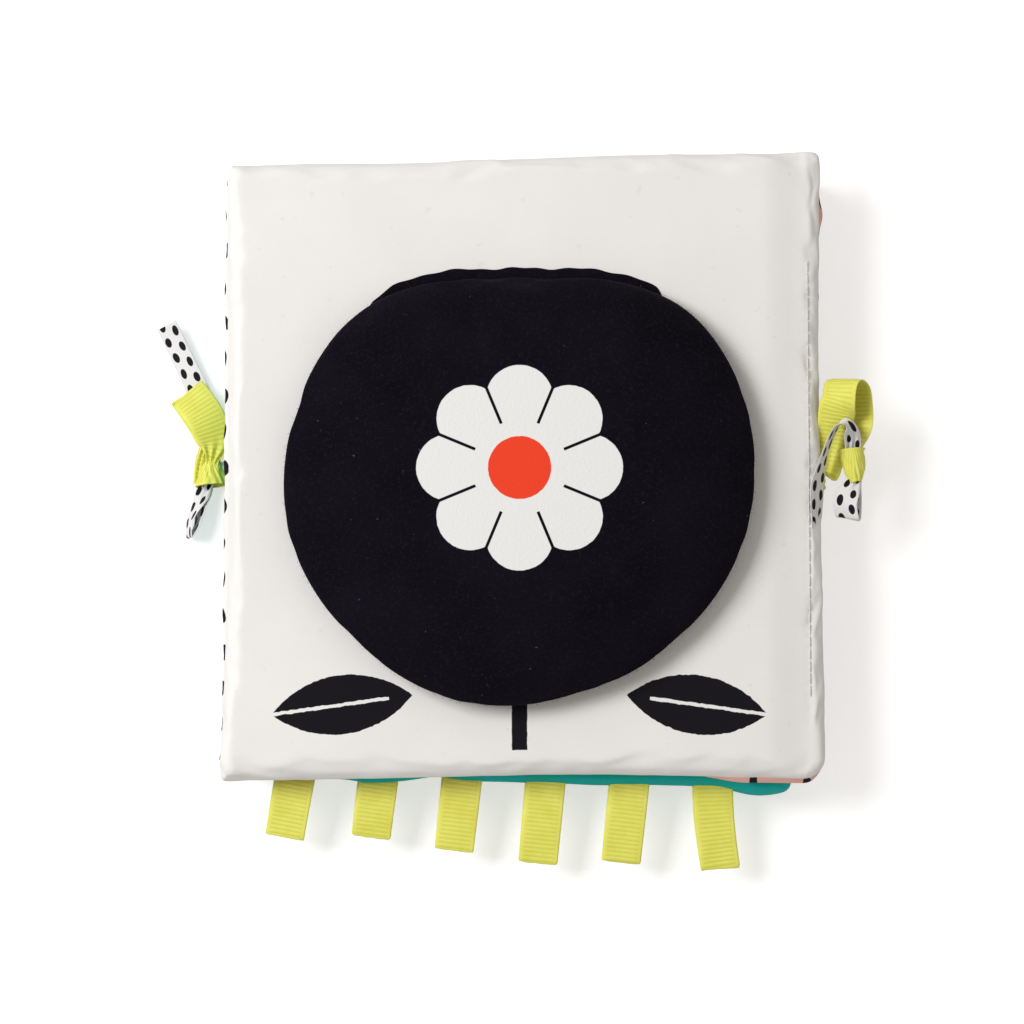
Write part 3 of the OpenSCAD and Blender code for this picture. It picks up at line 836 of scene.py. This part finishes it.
def brushed_fibres():
    """A tree that scatters short bent fibres over the faces near a piece's rim"""
    tree, n, given = tree_with("brushed fibres", Density="Float", Fibre_Length="Float", Thickness="Float",
                               Seed="Int", Material="Material")
    near_rim = n.add("FunctionNodeCompare", {0: named(n, "rim"), 1: 0.5}, data_type="FLOAT",
                     operation="GREATER_THAN").outputs[0]
    spread = n.add("GeometryNodeDistributePointsOnFaces",
                   {"Mesh": given["Geometry"], "Selection": near_rim, "Density": given["Density"],
                    "Seed": given["Seed"]})
    length = given["Fibre Length"]
    bend = ({2: n.times(length, -0.15)}, {2: n.times(length, 0.7)}, {0: n.times(length, 0.6), 2: length})
    hair = bent_thread(n, 3, 3, bend, given["Thickness"], False)
    twist = n.add("FunctionNodeRandomValue", {0: (-0.6, -0.6, -3.1), 1: (0.6, 0.6, 3.1), "Seed": 3},
                  data_type="FLOAT_VECTOR").outputs[0]
    twist = n.add("FunctionNodeEulerToRotation", {0: twist}).outputs[0]
    twist = n.add("FunctionNodeRotateRotation", {0: spread.outputs["Rotation"], 1: twist},
                  rotation_space="LOCAL").outputs[0]
    grown = n.add("FunctionNodeRandomValue", {2: 0.35, 3: 1.0, "Seed": 5}, data_type="FLOAT").outputs[1]
    placed = n.add("GeometryNodeInstanceOnPoints", {"Points": spread.outputs["Points"], "Instance": hair,
                                                    "Rotation": twist, "Scale": grown})
    end_tree(n, placed.outputs[0], given["Material"])
    return tree


nap = bpy.data.objects.new("flap_nap", flap.data.copy())
scene.collection.objects.link(nap)
run_tree(nap, brushed_fibres(), Density=520000.0, Fibre_Length=0.9 * MM, Thickness=0.05 * MM, Seed=11,
         Material=plain_black)
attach(nap, "flap")

# Grosgrain ribbon, 10 mm wide: a close lime weave with thick cross ribs between plain selvages.
# The six tags are folded in half and sewn into the page's bottom seam.
ribbon_w = 10.0
strap_t = 0.6
rib_pitch = 1.1
selvage = 0.8


def through(rows, spacing):
    """Rows on the smooth curve through the given ones, evenly spaced by their first three numbers"""
    p = np.array(rows, float)
    last = len(p) - 1
    fine = []
    for i in range(last):
        a, b, c, d = p[max(i - 1, 0)], p[i], p[i + 1], p[min(i + 2, last)]
        for t in np.arange(16) / 16:
            fine.append((2 * b + (c - a) * t + (2 * a - 5 * b + 4 * c - d) * t ** 2
                         + (3 * b - a - 3 * c + d) * t ** 3) / 2)
    fine = np.array(fine + [p[last]])
    run = np.concatenate([[0], np.cumsum(np.linalg.norm(np.diff(fine[:, :3], axis=0), axis=1))])
    even = np.linspace(0, run[-1], max(3, round(run[-1] / spacing)) + 1)
    return even, np.stack([np.interp(even, run, column) for column in fine.T], -1)


def strap_parts(route, spacing, full, divisions=16, pleats=3, thickness=0.3):
    """Points, faces and attributes of a strap; its route's rows hold a place, the way across and the width"""
    run, rows = through([[*place, *across, width] for place, across, width in route], spacing)
    place, across, width = rows[:, :3], rows[:, 3:6], rows[:, 6]
    tangent = np.gradient(place, axis=0)
    tangent /= np.linalg.norm(tangent, axis=1, keepdims=True)
    across = across - (across * tangent).sum(1, keepdims=True) * tangent
    across /= np.linalg.norm(across, axis=1, keepdims=True)
    up = np.cross(tangent, across)
    k = np.linspace(-1, 1, divisions + 1)
    gather = 0.55 * smoothstep(1.0, 0.45, width / full)
    fold = gather[:, None] * np.sin(k * pleats * math.pi + run[:, None] * 0.25)
    skin = thickness / 2 * (1 - 0.5 * abs(k) ** 10)
    middle = place[:, None] + across[:, None] * (k[:, None] * width[:, None, None] / 2)
    middle = middle + up[:, None] * fold[..., None]
    over = middle + up[:, None] * skin[:, None]
    under = middle - up[:, None] * skin[:, None]
    ring = np.concatenate([over, under[:, ::-1]], 1)
    rows_n, n = ring.shape[:2]
    grid = np.arange(rows_n * n).reshape(rows_n, n)
    outward = np.repeat(up[:, None], n // 2, 1)
    outward = np.concatenate([outward, -outward], 1)
    u = np.concatenate([k, k[::-1]])[None] * full / 2
    return {"points": ring.reshape(-1, 3), "faces": tube_faces(grid).tolist() + end_faces(grid),
            "across": np.repeat(u, rows_n, 0).ravel(), "along": np.repeat(run[:, None], n, 1).ravel(),
            "outward": outward.reshape(-1, 3), "length": run[-1]}


def strap_object(name, parts):
    """One mesh from several straps, with outward ready for the ribs"""
    points, faces, start = [], [], 0
    for part in parts:
        faces += [[v + start for v in face] for face in part["faces"]]
        points.append(part["points"])
        start += len(part["points"])
    across, along, outward = (np.concatenate([part[key] for part in parts])
                              for key in ("across", "along", "outward"))
    piece = mesh_object(name, np.concatenate(points), faces, across, along)
    set_attribute(piece.data, "outward", outward, "FLOAT_VECTOR")
    return piece


def grosgrain_ribs():
    """A tree that lifts a strap's faces into cross ribs between its selvages"""
    tree, n, given = tree_with("grosgrain ribs", Rib_Pitch="Float", Rib_Height="Float", Selvage="Float",
                               Half_Width="Float", Material="Material")
    turns = n.math("DIVIDE", n.times(named(n, "along"), math.pi), given["Rib Pitch"])
    wave = n.math("ABSOLUTE", n.math("SINE", turns))
    inside = n.minus(n.minus(given["Half Width"], n.math("ABSOLUTE", named(n, "across"))), given["Selvage"])
    inside = n.times(inside, 3 / MM, clamp=True)
    height = n.times(n.times(n.math("POWER", wave, 1.6), inside), given["Rib Height"])
    outward = named(n, "outward", "FLOAT_VECTOR")
    offset = n.add("ShaderNodeVectorMath", {0: outward, 3: height}, operation="SCALE").outputs[0]
    ribbed = n.add("GeometryNodeSetPosition", {"Geometry": given["Geometry"], "Offset": offset})
    end_tree(n, ribbed.outputs[0], given["Material"])
    return tree


def lime_weave():
    """Lime grosgrain with painted shade: darker in the grooves between the ribs, with fine crosswise threads
    """
    material, n, shader, place = new_cloth("lime grosgrain", Roughness=0.55, Specular_IOR_Level=0.3,
                                           Sheen_Weight=0.12)
    across = n.attribute("across")
    along = n.attribute("along")
    wave = n.math("ABSOLUTE", n.math("SINE", n.times(along, math.pi / (rib_pitch * MM))))
    edge = n.minus(ribbon_w / 2 * MM, n.math("ABSOLUTE", across))
    body = n.times(n.minus(edge, selvage * MM), 3 / MM, clamp=True)
    # Painted shade: the groove mask mixes a darker lime into the colour between the raised ribs, standing in
    # for the shade that falls there.
    groove = n.times(n.minus(1.0, n.times(wave, 1.25), clamp=True), body)
    tone = n.noise(place, 180.0, 3.0)
    cloth = n.mix(n.stretch(tone, 2.4, -0.7), (0.74, 0.73, 0.105, 1), (0.84, 0.83, 0.16, 1))
    cloth = n.mix(n.times(groove, 0.6), cloth, (0.56, 0.56, 0.06, 1))
    weave = crossing_threads(n, across, along, (0.35 * MM, 0.45 * MM), tone)
    join_cloth(n, shader, cloth, weave, 0.6, 0.05 * MM)
    return material


rib_tree = grosgrain_ribs()
lime_grosgrain = lime_weave()
rib_sizes = {"Rib_Pitch": rib_pitch * MM, "Rib_Height": 0.13 * MM, "Selvage": selvage * MM,
             "Half_Width": ribbon_w / 2 * MM, "Material": lime_grosgrain}
rib_spacing = rib_pitch / 5
tag_pitch = 21.4
tag_middle = -5.0
tag_gap = 0.8
tag_droop = 2.2
tag_lengths = (12.1, 12.1, 15.4, 18.6, 18.4, 20.1)
tag_swings = (-2.3, -1.7, -1.9, -1.9, -2.1, 1.9)
tag_bends = (1, 1, 1, 1, 1, 1.7)
tag_rounds = (0.3, 1.3, 0.4, 0.8, 0.5, 0.6)
tag_root = 3.5
for i, (length, swing, bend, rounded) in enumerate(zip(tag_lengths, tag_swings, tag_bends, tag_rounds)):
    x = tag_middle + (i - 2.5) * tag_pitch
    y = -page_drop - panel_h / 2 - 0.25
    z = page_z + seam_height(x, fold_above, fold_below)
    h = (tag_gap + strap_t) / 2
    slope = swing / length
    runs = (-tag_root, length * 0.25, length * 0.6, length - 2.4, length - 0.55)
    layers = ([], [])
    for run in runs:
        share = max(0, run / length)
        lean = slope * (1 if bend == 1 else 0.5 * share)
        sway = swing * share ** bend if run > 0 else lean * run
        droop = tag_droop * share ** 1.6
        for layer, rows in zip((1, -1), layers):
            spread = h * (0.5 if run < 0 else 1) * (1 - 0.45 * share)
            under = -0.4 * (1 - share) if layer < 0 else 0
            rows.append(((x + sway + under, y - run, z + layer * spread - droop), (1, lean, 0), ribbon_w))
    end_lean = slope * (1 if bend == 1 else 0.5)
    end = ((x + swing, y - length, z - tag_droop), (1, end_lean, 0), ribbon_w - rounded)
    route = layers[0] + [end] + layers[1][::-1]
    part = strap_parts(route, rib_spacing, ribbon_w, divisions=22)
    tag = strap_object(f"ribbon_tag_{i + 1}_grosgrain", [part])
    run_tree(tag, rib_tree, **rib_sizes)
    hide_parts(f"ribbon_tag_{i + 1}")
    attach(tag, "page")

# The two ties: each a lime ribbon and a dotted cotton tape, sewn into a free edge and tied in a
# small bow. The left one hangs from the back cover and the right one from the front cover.
tape_w = 6.4


def tape_spots(n, cloth, across, along, place):
    across = n.plus(across, 1.65 * MM)
    return spots(n, cloth, across, along, place, (6.6 * MM, 4.5 * MM), (0.95 * MM, 1.45 * MM), 0.8 * MM)


dotted_tape = woven("dotted tape", (0.8, 0.79, 0.8, 1), roughness=0.8, printed=tape_spots, relief=0.08 * MM)


def looped(route):
    """Route of a strap folded in a loop: rows give the middle line and the gap, the last is the fold"""
    last = len(route) - 1
    layers = ([], [])
    for i, row in enumerate(route[:-1]):
        ahead = np.subtract(route[min(i + 1, last)][0], route[max(i - 1, 0)][0])
        up = np.cross(ahead, row[1])
        up = up / np.linalg.norm(up) * (row[3] + strap_t) / 2
        layers[0].append((np.add(row[0], up), row[1], row[2]))
        layers[1].append((np.subtract(row[0], up), row[1], row[2]))
    return layers[0] + [route[last][:3]] + layers[1][::-1]


def knot_parts(middle, rims, pleats, depth, lean=0.0, sides=144, rings=22):
    """A turn of gathered ribbon; rims hold the height, half width and half depth from top to bottom"""
    rims = np.array(rims, float)
    t = np.linspace(0, 1, rings)
    _, curve = through(rims, 0.1)
    spaced = np.stack([np.interp(t, np.linspace(0, 1, len(curve)), c) for c in curve.T], -1)
    a = 2 * math.pi * np.arange(sides) / sides
    ripple = np.sin(pleats * a[None] + 2.2 * np.sin(2 * a[None] + 5 * t[:, None]))
    crease = depth * ripple * smoothstep(0.02, 0.4, t)[:, None]
    shells = []
    for wall in (0.15, -0.15):
        wide = spaced[:, 1:2] + wall + crease
        deep = spaced[:, 2:3] + wall + crease
        shells.append(np.stack([middle[0] + lean * spaced[:, :1] + wide * np.cos(a),
                                middle[1] + spaced[:, :1] + 0 * a + 0.35 * np.sin(a + 1),
                                middle[2] + deep * np.sin(a)], -1))
    ring = np.concatenate([shells[0], shells[1][::-1]])
    grid = np.arange(ring.shape[0] * sides).reshape(-1, sides)
    nxt = np.roll(grid, -1, 1)
    below = np.roll(grid, -1, 0)
    quads = np.stack([grid, nxt, np.roll(nxt, -1, 0), below], -1).reshape(-1, 4).tolist()
    normal = np.stack([np.cos(a), 0 * a, np.sin(a)], -1)
    outward = np.concatenate([np.repeat(normal[None], rings, 0), -np.repeat(normal[None], rings, 0)])
    u = (t - 0.5) * ribbon_w
    u = np.concatenate([u, u[::-1]])
    around = np.repeat((a * spaced[:, 1].mean() * 1.5)[None], 2 * rings, 0)
    around = around + 0.35 * u[:, None] * np.sin(2 * a)[None]
    return {"points": ring.reshape(-1, 3), "faces": quads, "across": np.repeat(u[:, None], sides, 1).ravel(),
            "along": around.ravel(), "outward": outward.reshape(-1, 3),
            "length": 2 * math.pi * spaced[:, 1].mean()}


def moved_to(origin, parts):
    for part in parts:
        part["points"] = part["points"] + np.array(origin)
    return parts


X = (1, 0, 0)
Y = (0, 1, 0)
left_edge = (1.2 - panel_w / 2, 1.8, free_edge)
right_edge = (panel_w / 2 - 1.3, 0, cover_z + free_edge)


def ribbon(route, **how):
    return strap_parts(route, rib_spacing, ribbon_w, **how)


def tape(route, **how):
    return strap_parts(route, 0.5, tape_w, **how)


left_ribbon = moved_to(left_edge, [
    ribbon([((0.8, -1.4, -0.7), Y, 10), ((-0.7, -1.3, -0.7), Y, 9.4), ((-2.2, -1.2, -0.9), Y, 8)]),
    knot_parts((-5.9, 0, 0.1), [(1.7, 1.6, 1.7), (0.5, 2.3, 2.3), (-2, 3.3, 2.9), (-4.7, 4, 3.1)], 10, 0.16),
    ribbon([((-7.6, 5, 0.4), (1, 0.2, 0), 3), ((-8.3, 2.2, 0.6), X, 3.4), ((-8.7, -1.2, 0.4), X, 3.6),
            ((-8.8, -4.2, 0.2), X, 3.8)], divisions=12),
    ribbon(looped([((-5.6, 0.2, 1.4), X, 3, 0.2), ((-5.4, 2.2, 1.5), X, 3.7, 0.3),
                   ((-5, 6.4, 1.8), (0.95, 0.26, -0.15), 8.6, 1.2),
                   ((-7.5, 12.7, 1.8), (0.84, 0.5, -0.2), 10, 2.2),
                   ((-12.2, 19.4, 1.2), (0.77, 0.63, -0.05), 10)]), divisions=24),
])
left_tape = moved_to(left_edge, [
    tape([((1, -1.6, 0.4), Y, 6.4), ((-1.2, -1.5, 0.6), Y, 6.2), ((-3.2, -1, 0.4), Y, 5.2),
          ((-5, -0.6, 0), Y, 3.8)]),
    tape(looped([((-6.4, -2, -1), X, 3.2, 0.2), ((-7.6, -5.4, -0.8), (1, 0, 0.15), 4.2, 0.3),
                 ((-9, -9.6, -0.3), (0.62, 0, 0.78), 5.6, 0.5), ((-10.4, -14.2, 0), (0.36, 0, 0.93), 6, 1.5),
                 ((-11.4, -18.2, 0), (0.3, 0, 0.95), 6)]), divisions=20),
    tape([((-5.6, 0, -0.1), X, 4), ((-5.7, 2.8, -0.6), X, 4.4), ((-6, 7, -2), (0.95, -0.1, 0), 6),
          ((-7.2, 13, -3), (0.95, 0.25, 0), 6.4), ((-10, 21, -3), (0.84, 0.4, 0.36), 6.4),
          ((-13.9, 29.2, -2.4), (0.78, 0.38, 0.5), 6.4), ((-17.9, 37.6, -1.6), (0.76, 0.37, 0.54), 6.4)],
         divisions=20),
])
tilt = (0.8, -0.09, 0.6)
right_ribbon = moved_to(right_edge, [
    knot_parts((9.5, 0.3, 1.1), [(3.9, 3.4, 2.9), (3, 2.75, 2.6), (1.6, 2.8, 2.7), (-1.4, 2.4, 2.5),
                                 (-4.6, 1.2, 1.7)], 7, 0.1, lean=-0.13),
    ribbon([((8.8, 2.4, -0.8), X, 4.2), ((9.6, 5.6, -0.9), (0.95, 0, 0.1), 5),
            ((10.3, 10.5, -1), (0.88, 0, 0.4), 9), ((10.4, 16, -1), tilt, 10),
            ((9.7, 20.2, 0.5), tilt, 10), ((7.6, 21.9, 3.2), tilt, 10),
            ((6, 20.2, 5.4), tilt, 10), ((5.5, 16.2, 4.9), tilt, 10), ((5, 12, 1.6), (0.97, 0, 0.15), 9.2),
            ((4.3, 6.6, -1.1), X, 8), ((3.6, 1.4, -1.6), X, 7), ((2.8, -1.6, -1.5), (0.9, 0.4, 0), 6.4),
            ((1.5, -3, -1.1), (0.5, 0.87, 0), 6), ((0.2, -3.4, -0.6), Y, 7)], divisions=24, pleats=2),
])
right_tape = moved_to(right_edge, [
    tape([((-1.4, -18, -0.4), (0.4, 0, -0.92), 4), ((-0.4, -15, 1.2), (0.5, 0, -0.87), 4.6),
          ((-0.2, -10.5, 2.6), (0.6, 0, -0.8), 5.4),
          ((0.1, -5, 3.4), (0.6, 0, -0.8), 6), ((1.3, 0.6, 4.2), (0.35, 0, -0.93), 6.2),
          ((3.2, 6.3, 5), (0.25, 0, -0.97), 6.4), ((5, 9.6, 5.6), (0.3, 0.15, -0.94), 6.4),
          ((7.2, 10.2, 5.4), (0.45, 0.3, -0.84), 6.2), ((8.9, 7.6, 3.8), (0.85, 0.2, -0.5), 5),
          ((9.2, 4.8, 2.4), X, 4), ((9.1, 3, 2), X, 3.8)], divisions=20),
    tape(looped([((9.9, -0.6, 0.7), X, 3.2, 0.2), ((9.3, -4.2, 0.9), X, 4.4, 0.4),
                 ((8.2, -7.2, 1), (0.93, 0, 0.3), 6.2, 1.8), ((7.8, -10.2, 1), (0.9, -0.1, 0.4), 6.4, 2.8),
                 ((8, -13.4, 0.9), (0.9, -0.25, 0.35), 6.4)]), divisions=20),
])
for name, parts, body in (("left_ribbon", left_ribbon, "back_cover"),
                          ("right_ribbon", right_ribbon, "front_cover")):
    bow = strap_object(name + "_bow", parts)
    run_tree(bow, rib_tree, **rib_sizes)
    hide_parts(name)
    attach(bow, body)
for name, parts, body in (("left_tape", left_tape, "back_cover"), ("right_tape", right_tape, "front_cover")):
    bow = strap_object(name + "_bow", parts)
    bow.data.materials.append(dotted_tape)
    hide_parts(name)
    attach(bow, body)
